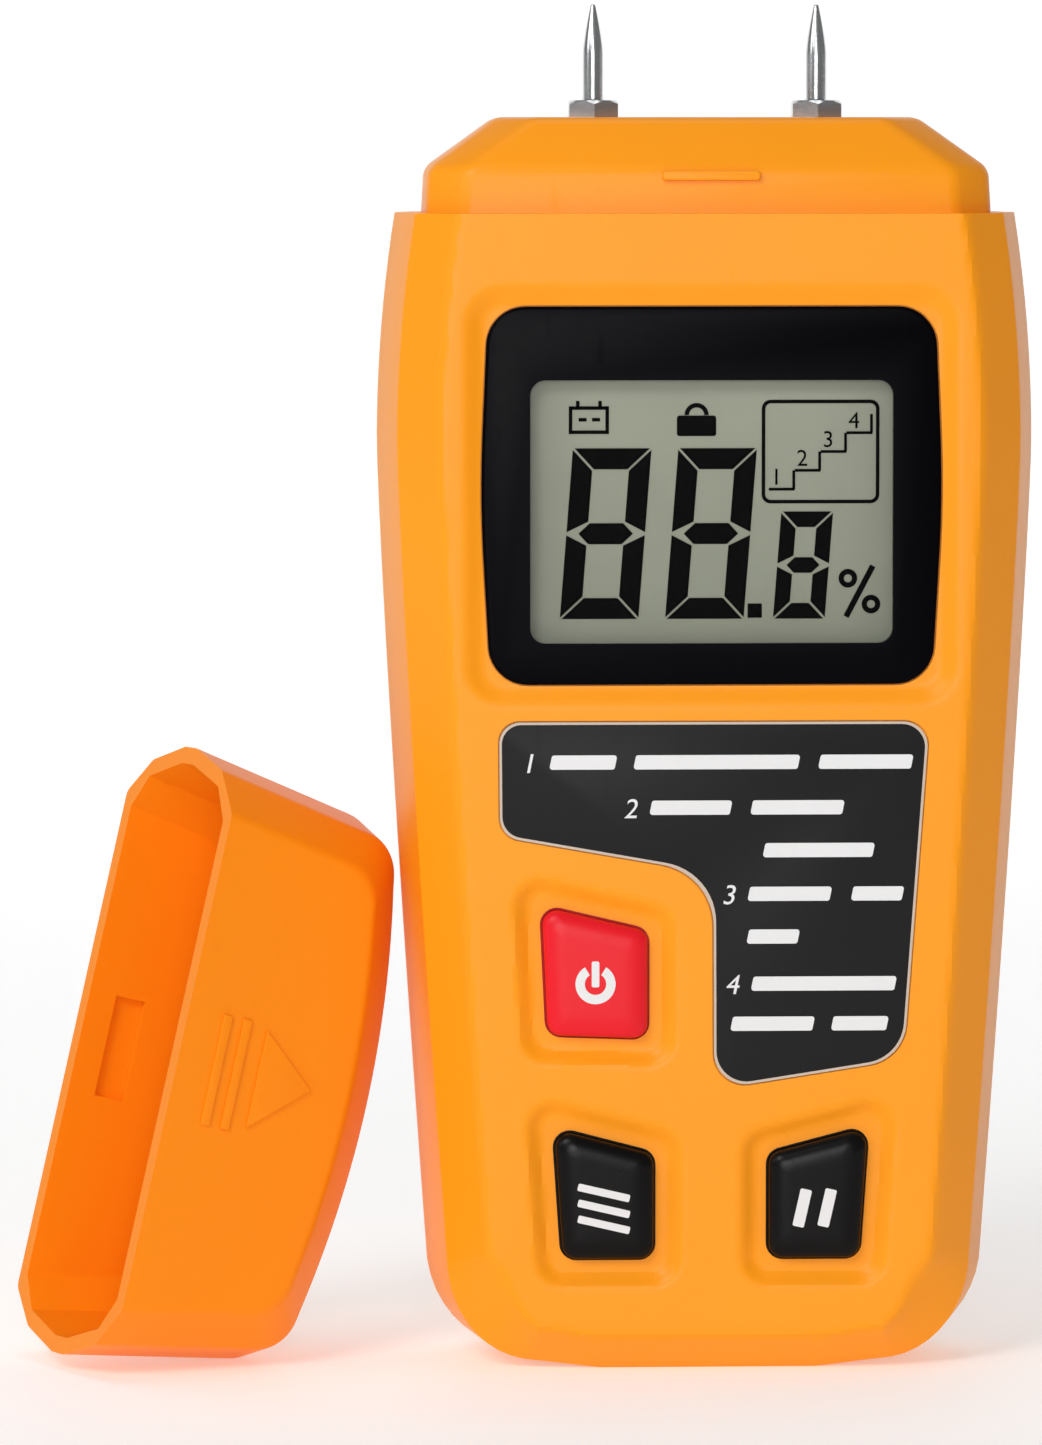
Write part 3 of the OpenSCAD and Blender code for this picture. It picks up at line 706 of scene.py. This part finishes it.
def makeBackShell():
    solid = caseHalfSolid(1, [])
    solid = boolean(solid, cavity(1), "DIFFERENCE")
    w = bay["wall"]
    inner = case["back"] - case["wall"]
    tub = block((-bay["half"] - w, bay["half"] + w), (bay["floor"], inner + 0.3),
                (bay["low"] - w, bay["high"] + w))
    solid = boolean(solid, tub, "UNION")
    posts = [rod(x, z, 4.2, case["parting"], inner + 0.3) for x, z in screws["case"]]
    solid = boolean(solid, gathered(posts), "UNION")
    ledge = bay["ledge"]
    recess = rounded(rect(2 * (bay["half"] + ledge), bay["high"] - bay["low"] + 2 * ledge, 0.0,
                          (bay["high"] + bay["low"]) / 2), 2.0)
    hollow = block((-bay["half"], bay["half"]), (bay["floor"] + w * 0.7, 20.0), (bay["low"], bay["high"]))
    solid = boolean(solid, hollow, "DIFFERENCE")
    cutters = [plate(recess, case["back"] - bay["doorThickness"] - 0.05, 20.0)]
    cutters += [rod(x, z, 2.9, case["back"] - screws["sink"], 20.0) for x, z in screws["case"]]
    solid = boolean(solid, gathered(cutters + socketBores()), "DIFFERENCE")
    bores = [rod(x, z, 1.4, -2.0, 12.0) for x, z in screws["case"]]
    bores.append(block((-5.0, 5.0), (1.65, 5.65), (bay["high"] - 1.0, bay["high"] + w + 1.0)))
    solid = boolean(solid, gathered(bores), "DIFFERENCE")
    solid = boolean(solid, catchRidge(1), "UNION")
    return piece(solid, "backShell", "meter", "case", ["back_shell"], 22.0)


frontShell = makeFrontShell()
backShell = makeBackShell()
print("case halves:", len(frontShell.data.polygons), len(backShell.data.polygons))

cap = {
    "rimHalf": 34.95,
    "depth": 28.0,
    "taper": math.tan(math.radians(9.0)),
    "corner": 5.0,
    "endRadius": 115.0,
    "endIn": 6.0,
    "bandEnd": 1.0,
    "wall": 1.9,
    "lean": 14.0,
    "yaw": 25.0,
    "recess": (5.8, 13.1, 3.4, 7.2),
    "bars": (4.9, 7.4),
    "barLength": 12.6,
    "barWidth": 1.1,
    "arrow": [(-5.6, 10.0), (0.0, 17.0), (5.6, 10.0)],
    "raised": 0.4,
    "ridge": 0.9,
}


def capEnd(x):
    return cap["depth"] - x * x / (2 * cap["endRadius"])


# Outline of the cap from its rim, its sides and its end moved in
def capOutline(side, end, rim, steps=14):
    half = cap["rimHalf"] - side
    z = capEnd(half - cap["depth"] * cap["taper"]) - end
    w = half - z * cap["taper"]
    points = [(x, capEnd(x) - end) for x in np.linspace(0.4, w - 5.0, steps)]
    points += rounded([(w - 6.0, capEnd(w - 6.0) - end), (w, z), (half, 0.0)],
                      [0.001, cap["corner"], 0.001], 10)[11:22]
    points.append((half - rim * cap["taper"], rim))
    return mirrored(points)


# Hollow cap, built upright at its rim and then laid beside the meter
def makeCap():
    band = case["bandIn"]
    sides = []
    for faceIn in (case["frontIn"], case["backIn"]):
        controls = [(case["back"], faceIn + 3, cap["endIn"] + 3), (case["back"], faceIn, cap["endIn"]),
                    (case["bevelStart"], band, cap["bandEnd"]), (1.5, 0, 0), (1.0, 0, 0)]
        sides.append(softened(controls, [cap["ridge"], 0.5, 0.2], 6))
    rows = [(-y, capOutline(s, e, 0.0)) for y, s, e in sides[0]]
    rows += [(y, capOutline(s, e, 0.0)) for y, s, e in sides[1][::-1]]
    solid = loft(rows)
    w = cap["wall"]
    inner = [(case["back"] - w, case["frontIn"] + w / 2, cap["endIn"] + w / 2),
             (case["bevelStart"], band + w, cap["bandEnd"] + w), (1.5, w, w)]
    rows = [(-y, capOutline(s, e, -1.0)) for y, s, e in inner]
    rows += [(y, capOutline(s, e, -1.0)) for y, s, e in inner[::-1]]
    solid = boolean(solid, loft(rows), "DIFFERENCE")
    half, deep, low, high = cap["recess"]
    solid = boolean(solid, block((-half, half), (-deep, deep), (low, high)), "DIFFERENCE")
    top = case["front"] - cap["raised"]
    marks = [plate(rect(cap["barLength"], cap["barWidth"], 0.0, z), top, case["front"] + 0.3, 0.18)
             for z in cap["bars"]]
    marks.append(plate(cap["arrow"], top, case["front"] + 0.3, 0.18))
    for mark in marks:
        bmesh.ops.recalc_face_normals(mark, faces=mark.faces[:])
    solid = boolean(solid, gathered(marks), "UNION")
    bmesh.ops.rotate(solid, cent=(0, 0, 0),
                     matrix=Matrix.Rotation(math.radians(90 + cap["lean"]), 3, "Y"), verts=solid.verts[:])
    bmesh.ops.rotate(solid, cent=(0, 0, 0), matrix=Matrix.Rotation(math.radians(cap["yaw"]), 3, "Z"),
                     verts=solid.verts[:])
    low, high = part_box("cap")
    place = Vector([(low[i] + high[i]) / 2 / mm for i in range(3)])
    spread = [[f(v.co[i] for v in solid.verts) for i in range(3)] for f in (min, max)]
    bmesh.ops.translate(solid, vec=place - (Vector(spread[0]) + Vector(spread[1])) / 2, verts=solid.verts[:])
    return piece(solid, "cap", "cap", "cap", ["cap"])


segments = {
    "slant": math.tan(math.radians(4.4)),
    "gap": 0.17,
    "big": [(-16.9, 84.7, 8.8, 19.1, 2.35), (-5.1, 84.7, 8.8, 19.1, 2.35)],
    "small": [(7.0, 84.7, 5.8, 12.0, 1.75)],
    "thickness": 0.05,
}


def lcdFace():
    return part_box("lcd_panel")[0][1] / mm


# Seven bars of one digit, standing on z with its lower left corner at x
def digitBars(x, z, width, height, stroke):
    g, h, m = segments["gap"], stroke / 2, height / 2
    t, w = stroke, width
    bars = [[(g, 0), (w - g, 0), (w - t - g, t), (t + g, t)],
            [(t + g, height - t), (w - t - g, height - t), (w - g, height), (g, height)],
            [(t + g - h, m), (t + g, m + h), (w - t - g, m + h), (w - t - g + h, m), (w - t - g, m - h),
             (t + g, m - h)]]
    for low, high in ((g, m - g), (m + g, height - g)):
        top = low > m - 1
        inner = (low + (0.5 if top else 1) * t, high - (1 if top else 0.5) * t)
        left = [(0, low), (t, inner[0]), (t, inner[1]), (0, high)]
        bars.append(left)
        bars.append([(w - px, pz) for px, pz in left])
    return [[(x + px + pz * segments["slant"], z + pz) for px, pz in bar] for bar in bars]


def thinPlate(points, y, thickness):
    return plate(points, y - thickness, y)


def arcBand(x, z, inner, outer, start, end, steps=28):
    angles = [math.radians(start + (end - start) * k / steps) for k in range(steps + 1)]
    return [(x + outer * math.cos(a), z + outer * math.sin(a)) for a in angles] + [
        (x + inner * math.cos(a), z + inner * math.sin(a)) for a in angles[::-1]]


# A numeral as a thin solid, standing in the XZ plane
def numeral(text, x, z, size, y, thickness, lean=0.0):
    curve = bpy.data.curves.new("numeral", "FONT")
    curve.body = text
    curve.size = size
    curve.shear = lean
    curve.extrude = thickness / 2
    curve.resolution_u = 6
    holder = bpy.data.objects.new("numeral", curve)
    bpy.context.scene.collection.objects.link(holder)
    bpy.context.view_layer.update()
    mesh = bpy.data.meshes.new_from_object(holder.evaluated_get(bpy.context.evaluated_depsgraph_get()))
    bm = bmesh.new()
    bm.from_mesh(mesh)
    bpy.data.objects.remove(holder)
    bpy.data.curves.remove(curve)
    bpy.data.meshes.remove(mesh)
    bmesh.ops.remove_doubles(bm, verts=bm.verts[:], dist=0.0001)
    bmesh.ops.rotate(bm, cent=(0, 0, 0), matrix=Matrix.Rotation(math.pi / 2, 3, "X"), verts=bm.verts[:])
    bmesh.ops.translate(bm, vec=(x, y - thickness / 2, z), verts=bm.verts[:])
    return bm


def line(a, b, width):
    along = unit(np.array(b) - np.array(a))
    side = np.array([-along[1], along[0]]) * width / 2
    return [tuple(np.array(a) + side), tuple(np.array(b) + side), tuple(np.array(b) - side),
            tuple(np.array(a) - side)]


def makeSegments():
    y, t = lcdFace(), segments["thickness"]
    shapes = []
    for digit in segments["big"] + segments["small"]:
        shapes += [thinPlate(bar, y, t) for bar in digitBars(*digit)]
    shapes.append(thinPlate(rect(1.6, 1.6, 4.95, 85.6), y, t))                      # decimal point
    shapes.append(thinPlate(line((15.2, 84.9), (18.2, 90.6), 0.65), y, t))          # percent sign
    for x, z in ((15.4, 89.2), (18.0, 86.3)):
        shapes.append(thinPlate(arcBand(x, z, 0.45, 1.05, 0, 359.9), y, t))
    for low, high in (((-15.7, 105.6), (-11.6, 105.6)), ((-15.7, 108.3), (-11.6, 108.3)),
                      ((-15.7, 105.4), (-15.7, 108.5)), ((-11.6, 105.4), (-11.6, 108.5)),
                      ((-14.9, 108.3), (-14.9, 109.1)), ((-12.4, 108.3), (-12.4, 109.1)),
                      ((-14.8, 107.0), (-13.9, 107.0)), ((-13.3, 107.0), (-12.4, 107.0))):
        shapes.append(thinPlate(line(low, high, 0.4), y, t))                        # battery sign
    shapes.append(thinPlate(rounded(rect(4.4, 2.3, -1.6, 106.3), 0.3), y, t))  # padlock: reading held
    shapes.append(thinPlate(arcBand(-1.6, 107.5, 0.85, 1.35, 0, 180), y, t))
    box = rounded(rect(13.2, 11.6, 12.3, 103.4), 1.0)
    inner = rounded(rect(12.4, 10.8, 12.3, 103.4), 0.65)
    frameShape = boolean(thinPlate(box, y, t), plate(inner, y - 1, y + 1), "DIFFERENCE")
    shapes.append(frameShape)
    for k in range(4):
        x, z = 6.7 + k * 2.9, 99.7 + k * 2.1
        shapes.append(numeral(str(k + 1), x, z, 2.6, y, t))
        shapes.append(thinPlate(line((x - 0.2, z - 0.5), (x + 2.7, z - 0.5), 0.32), y, t))
        shapes.append(thinPlate(line((x + 2.6, z - 0.5), (x + 2.6, z + 1.6), 0.32), y, t))
    for shape in shapes:
        bmesh.ops.recalc_face_normals(shape, faces=shape.faces[:])
    return piece(gathered(shapes), "lcdSegments", "meter", "ink")


def makeBezel():
    solid = plate(bezelOutline(0.0, 12), display["front"], display["back"], 0.35, 4)
    solid = boolean(solid, plate(windowOutline(0.0), -20.0, -8.0), "DIFFERENCE")
    return piece(solid, "displayBezel", "meter", "bezel", ["display_bezel"])


labelRows = {
    "barHeight": 1.6,
    "slant": 0.2,
    "numeralSize": 3.1,
    "rows": [
        ("1", -21.3, 68.0, [(-18.2, -10.9), (-8.8, 9.6), (11.9, 22.3)]),
        ("2", -9.9, 62.9, [(-7.0, 2.0), (4.3, 14.6)]),
        (None, 0, 58.1, [(5.7, 18.0)]),
        ("3", 1.1, 53.2, [(4.0, 13.2), (15.6, 21.3)]),
        (None, 0, 48.4, [(3.9, 9.6)]),
        ("4", 1.5, 43.1, [(4.4, 20.5)]),
        (None, 0, 38.6, [(2.1, 11.3), (13.4, 19.6)]),
    ],
}


def makeLabel():
    outline = rounded(label["corners"], label["radii"], 12)
    plateShape = plate(outline, label["front"], label["back"], 0.06, 2)
    piece(plateShape, "labelPlate", "meter", "label", ["label_plate"])
    # Thin ring round the label's face in a light finish: a painted highlight along its cut edge
    inner = rounded(grown(label["corners"], -0.28), [r - 0.2 for r in label["radii"]], 12)
    rim = boolean(plate(outline, label["front"] - 0.03, label["front"] + 0.05),
                  plate(inner, -20.0, -10.0), "DIFFERENCE")
    piece(rim, "paintedEdgeHighlight", "meter", "paintedEdgeHighlight")
    y, h, lean = label["front"], labelRows["barHeight"], labelRows["slant"]
    shapes = []
    for number, at, z, bars in labelRows["rows"]:
        if number:
            shapes.append(numeral(number, at, z - 0.35, labelRows["numeralSize"], y, 0.05, lean))
        for x0, x1 in bars:
            corners = [(x0 + h * lean, z + h), (x1 + h * lean, z + h), (x1, z), (x0, z)]
            shapes.append(thinPlate(rounded(corners, 0.3, 4), y, 0.04))
    for shape in shapes:
        bmesh.ops.recalc_face_normals(shape, faces=shape.faces[:])
    piece(gathered(shapes), "labelMarks", "meter", "marks")


def keySolid(corners):
    top = case["front"] - keys["proud"]
    rows = [(top + down, rounded(grown(corners, -inset), max(keys["radius"] - inset * 0.5, 0.6), 12))
            for down, inset in keys["crown"]]
    rows.append((-11.9, rounded(corners, keys["radius"], 12)))
    flange = plate(rounded(grown(corners, 1.0), keys["radius"] + 1.0, 12), -11.9, -10.9)
    solid = boolean(loft(rows), flange, "UNION")
    x = sum(c[0] for c in corners) / 4
    z = sum(c[1] for c in corners) / 4
    return boolean(solid, rod(x, z, 2.4, -11.5, -10.3), "UNION")


def makeKeys():
    for name, slotName, material in (("power", "key_red", "keyRed"), ("mode", "key_black", "keyBlack"),
                                     ("hold", "key_black", "keyBlack")):
        piece(keySolid(keys[name]), name + "Key", name + "_key", material, [name + "_key"])
    y = case["front"] - keys["proud"]
    marks = {
        "power": [arcBand(-13.05, 44.0, 1.2, 2.25, 122, 418), rounded(rect(0.85, 2.9, -13.05, 45.1), 0.2)],
        "mode": [rounded(line((-15.0, z), (-9.2, z - 1.35), 0.85), 0.2) for z in (21.2, 19.4, 17.6)],
        "hold": [rounded(line((x, 16.6), (x + 0.95, 20.8), 1.3), 0.2) for x in (9.7, 12.5)],
    }
    for name, shapes in marks.items():
        solids = [plate(points, y - 0.02, y + 0.1) for points in shapes]
        for solid in solids:
            bmesh.ops.recalc_face_normals(solid, faces=solid.faces[:])
        piece(gathered(solids), name + "Mark", name + "_key", "marks")


pins = {
    "straight": 1.15,
    "thread": 1.5,
    "bottom": 134.7,
    "nutTop": 142.6,
    "shoulder": 147.8,
    "tip": 153.4,
    "tipRadius": 0.3,
    "nutFlats": 5.5,
}


def turned(profile, x, steps=56):
    bm = bmesh.new()
    verts = [bm.verts.new((x + r, 0, z)) for r, z in profile]
    edges = [bm.edges.new(pair) for pair in zip(verts, verts[1:])]
    bmesh.ops.spin(bm, geom=verts + edges, axis=(0, 0, 1), cent=(x, 0, 0), steps=steps,
                   angle=2 * math.pi, use_merge=True)
    bmesh.ops.remove_doubles(bm, verts=bm.verts[:], dist=0.0005)
    bmesh.ops.recalc_face_normals(bm, faces=bm.faces[:])
    return bm


def makePins():
    p = pins
    profile = [(0, p["bottom"]), (p["thread"], p["bottom"]), (p["thread"], p["nutTop"] - 0.05),
               (p["straight"], p["nutTop"] + 0.15), (p["straight"], p["shoulder"])]
    for k in range(1, 15):
        t = k / 14
        r = p["tipRadius"] + (p["straight"] - p["tipRadius"]) * (1 - t ** 1.4)
        profile.append((r, p["shoulder"] + (p["tip"] - 0.25 - p["shoulder"]) * t))
    profile += [(p["tipRadius"] * math.cos(a), p["tip"] - 0.25 + 0.25 * math.sin(a)) for a in (0.4, 0.8, 1.2)]
    profile.append((0, p["tip"]))
    for name, node in (("leftPin", "left_pin"), ("rightPin", "right_pin")):
        low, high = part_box(node)
        piece(turned(profile, (low[0] + high[0]) / 2 / mm), name, "meter", "steel", [node], 35.0)
    nuts = []
    for s in (-1, 1):
        bm = bmesh.new()
        bmesh.ops.create_cone(bm, cap_ends=True, segments=6,
                              radius1=p["nutFlats"] / 2 / math.cos(math.pi / 6),
                              radius2=p["nutFlats"] / 2 / math.cos(math.pi / 6), depth=1.9,
                              matrix=Matrix.Translation((s * 12.6, 0, 141.65)))
        dome = turned([(0, 140.0), (4.5, 140.0), (4.5, 141.2), (2.6, 142.6), (0, 142.6)], s * 12.6)
        hole = turned([(0, 139.0), (1.53, 139.0), (1.53, 144.0), (0, 144.0)], s * 12.6)
        nuts.append(boolean(boolean(bm, dome, "INTERSECT"), hole, "DIFFERENCE"))
    piece(gathered(nuts), "pinNuts", "meter", "steel", ["pin_nuts"])


def makeDoor():
    half = bay["half"] + bay["ledge"] - 0.2
    low, high = bay["low"] - bay["ledge"] + 0.2, bay["high"] + bay["ledge"] - 0.2
    outline = rounded(rect(2 * half, high - low, 0.0, (high + low) / 2), 1.8)
    solid = plate(outline, case["back"] - bay["doorThickness"], case["back"])
    edges = [e for e in solid.edges if all(abs(v.co.y - case["back"]) < 1e-6 for v in e.verts)]
    bmesh.ops.bevel(solid, geom=edges, offset=0.25, segments=3, profile=0.5, affect="EDGES", material=-1)
    grips = []
    for k in range(5):
        grip = plate(rounded(rect(12.0, 0.7, 0.0, high - 4.2 - k * 1.5), 0.34, 4), -0.35, 0.3, 0.2)
        bmesh.ops.rotate(grip, cent=(0, 0, 0), matrix=Matrix.Rotation(math.pi, 3, "Z"), verts=grip.verts[:])
        bmesh.ops.translate(grip, vec=(0, case["back"], 0), verts=grip.verts[:])
        grips.append(grip)
    ribs = [block((s * 13.3 - 0.3, s * 13.3 + 0.3), (12.05, 13.0), (bay["low"] + 4, bay["high"] - 4))
            for s in (-1, 1)]
    solid = boolean(solid, gathered(grips + ribs), "UNION")
    return piece(solid, "batteryDoor", "battery_door", "case", ["battery_door"])


# Finishes of the pieces that keep the frame's own shape
carried = {
    "display_window": "window",
    "lcd_panel": "lcd",
    "lcd_holder": "holder",
    "zebra_strips": "zebra",
    "circuit_board": "board",
    "microcontroller": "chip",
    "amplifier_chip": "chip",
    "switch_housings": "chip",
    "power_plunger": "holder",
    "mode_plunger": "holder",
    "hold_plunger": "holder",
    "crystal": "zinc",
    "electrolytic_capacitor": "zinc",
    "small_parts": "tan",
    "pin_sockets": "brass",
    "left_pin_lead": "vinylWhite",
    "right_pin_lead": "vinylWhite",
    "battery": "battery",
    "battery_terminals": "zinc",
    "battery_snap": "vinylBlack",
    "positive_lead": "vinylRed",
    "negative_lead": "vinylBlack",
    "case_screws": "zinc",
    "board_screws": "zinc",
}

makeCap()
print("cap made")
makeBezel()
makeSegments()
makeLabel()
makeKeys()
print("display, label and keys made")
makePins()
makeDoor()
for node, finish in carried.items():
    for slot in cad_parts[node].material_slots:
        slot.material = materials[finish]
print("pins, door and carried pieces finished")

shot = {
    "azimuth": -2.6,
    "elevation": 4.0,
    "lens": 220.0,
    "sensorHeight": 36.0,
    "frameHeight": 161.3,
    "targetX": -21.35,
    "targetZ": 73.3,
    "sweepAt": 2.5,         # metres behind the object
    "sweepRadius": 0.8,
    "cardGlow": 0.62,
    "fill": 0.2,
    "lamps": {
        "frontLight": ((-0.1, -1.3, 0.22), 0.36, 4.7),
        "keyLight": ((-0.45, -0.8, 0.65), 0.4, 4.1),
        "sideLight": ((-1.0, -0.5, 0.5), 0.5, 1.5),
        "topLight": ((0.0, 0.1, 1.1), 0.5, 1.5),
    },
}


def makeCamera():
    data = bpy.data.cameras.new("camera")
    data.lens = shot["lens"]
    data.clip_end = 20.0
    data.sensor_fit = "VERTICAL"
    data.sensor_height = shot["sensorHeight"]
    cam = bpy.data.objects.new("camera", data)
    bpy.context.scene.collection.objects.link(cam)
    distance = shot["lens"] * shot["frameHeight"] / shot["sensorHeight"] * mm
    turn = Matrix.Rotation(math.radians(shot["azimuth"]), 4, "Z") @ Matrix.Rotation(
        math.radians(90 - shot["elevation"]), 4, "X")
    target = Vector((shot["targetX"] * mm, case["front"] * mm, shot["targetZ"] * mm))
    cam.matrix_world = Matrix.Translation(target) @ turn @ Matrix.Translation((0, 0, distance))
    bpy.context.scene.camera = cam


# Sweep of pale card: flat under the object, then curved up behind it
def makeStage():
    bm = bmesh.new()
    bmesh.ops.create_grid(bm, x_segments=1, y_segments=80, size=1.0)
    bend = math.pi / 2 * shot["sweepRadius"]
    for vert in bm.verts:
        along = (vert.co.y + 1) * 4.5 - 3.0
        turn = min(max(along - shot["sweepAt"], 0.0), bend) / shot["sweepRadius"]
        vert.co.x *= 5.0
        vert.co.y = min(along, shot["sweepAt"]) + shot["sweepRadius"] * math.sin(turn)
        vert.co.z = shot["sweepRadius"] * (1 - math.cos(turn)) + max(along - shot["sweepAt"] - bend, 0.0)
    floor = objectOf(bm, "floor")
    floor.data.shade_smooth()
    s = Shader("paleCard")
    depth = Wire(s, s.node("ShaderNodeSeparateXYZ", {}, {"Vector": s.place}).socket.node.outputs["Y"])
    near = depth.above(-0.5, 0.3)
    glow = s.mix(depth.above(0.3, 1.2), (0.3, 0.3, 0.3), (1.0, 1.0, 1.0))
    s.set(Base_Color=s.mix(near, (0.3, 0.3, 0.3), (0.92, 0.92, 0.92)), Roughness=0.6 + s.noise(3.0) * 0.05)
    s.set(Emission_Color=s.mix(near, (0.0, 0.0, 0.0), glow), Emission_Strength=shot["cardGlow"],
          Specular_IOR_Level=0.1)
    floor.data.materials.append(s.material)
    world = bpy.data.worlds.new("studio")
    world.use_nodes = True
    world.node_tree.nodes["Background"].inputs["Color"].default_value = (1, 1, 1, 1)
    world.node_tree.nodes["Background"].inputs["Strength"].default_value = shot["fill"]
    bpy.context.scene.world = world
    bpy.context.scene.view_settings.view_transform = "Standard"
    for name, (place, size, power) in shot["lamps"].items():
        data = bpy.data.lights.new(name, "AREA")
        data.shape = "DISK"
        data.size = size
        data.energy = power
        lamp = bpy.data.objects.new(name, data)
        bpy.context.scene.collection.objects.link(lamp)
        aim = Vector((-0.015, 0, 0.07)) - Vector(place)
        lamp.matrix_world = Matrix.Translation(place) @ aim.to_track_quat("-Z", "Y").to_matrix().to_4x4()


makeCamera()
makeStage()
